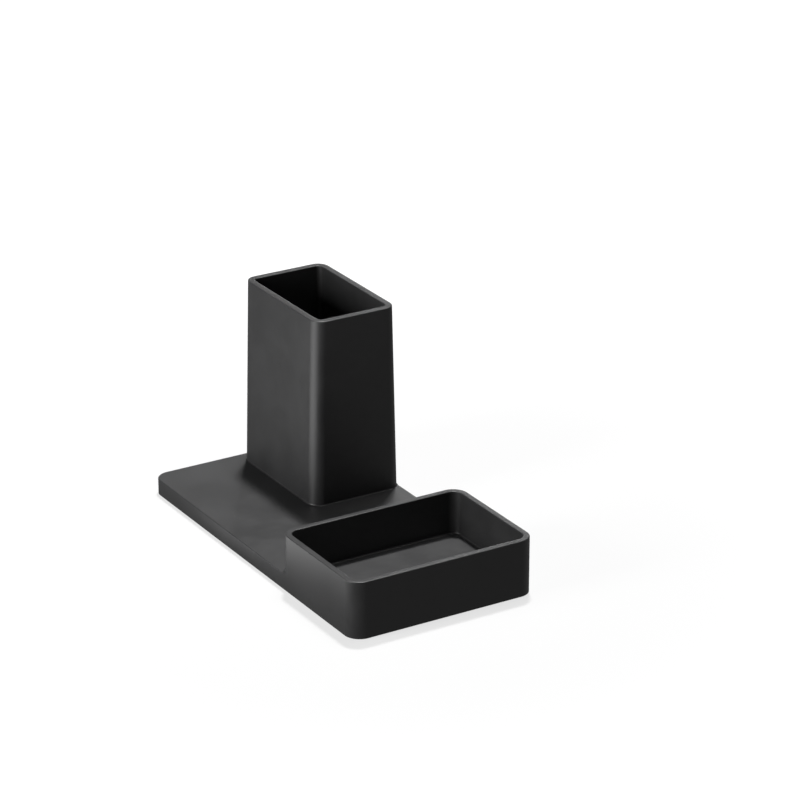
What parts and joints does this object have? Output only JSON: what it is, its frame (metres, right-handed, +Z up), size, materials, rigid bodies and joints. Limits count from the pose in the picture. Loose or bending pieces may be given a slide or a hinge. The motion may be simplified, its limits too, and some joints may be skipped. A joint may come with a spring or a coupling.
{
  "type": "pen holder",
  "caption": "Desk pen holder: oblong base with an open shallow tray at one end and a tall open rectangular pen cup at the other, on rubber pads.",
  "frame": {"origin": "middle of the base, on the surface that the rubber feet stand on", "axes": "+X along the base from the pen cup towards the tray, +Y across the base towards the long side that the pen cup is flush with, +Z up"},
  "size_m": [0.2, 0.1, 0.106],
  "materials": {
    "body_plastic": "satin black injection-moulded plastic with a very fine grain",
    "inner_plastic": "satin black injection-moulded plastic",
    "cover_plastic": "matte black injection-moulded plastic",
    "foot_rubber": "dull black rubber",
    "screw_steel": "zinc-plated steel"
  },
  "bodies": {
    "root": {"base_shell": "body_plastic", "pen_tower": "body_plastic", "cup_floor": "inner_plastic", "bottom_cover": "cover_plastic", "foot_front_left": "foot_rubber", "foot_front_right": "foot_rubber", "foot_rear_left": "foot_rubber", "foot_rear_right": "foot_rubber", "cover_screw_front_left": "screw_steel", "cover_screw_front_right": "screw_steel", "cover_screw_rear_left": "screw_steel", "cover_screw_rear_right": "screw_steel", "tower_screw_front_left": "screw_steel", "tower_screw_front_right": "screw_steel", "tower_screw_rear_left": "screw_steel", "tower_screw_rear_right": "screw_steel"}
  },
  "joints": []
}
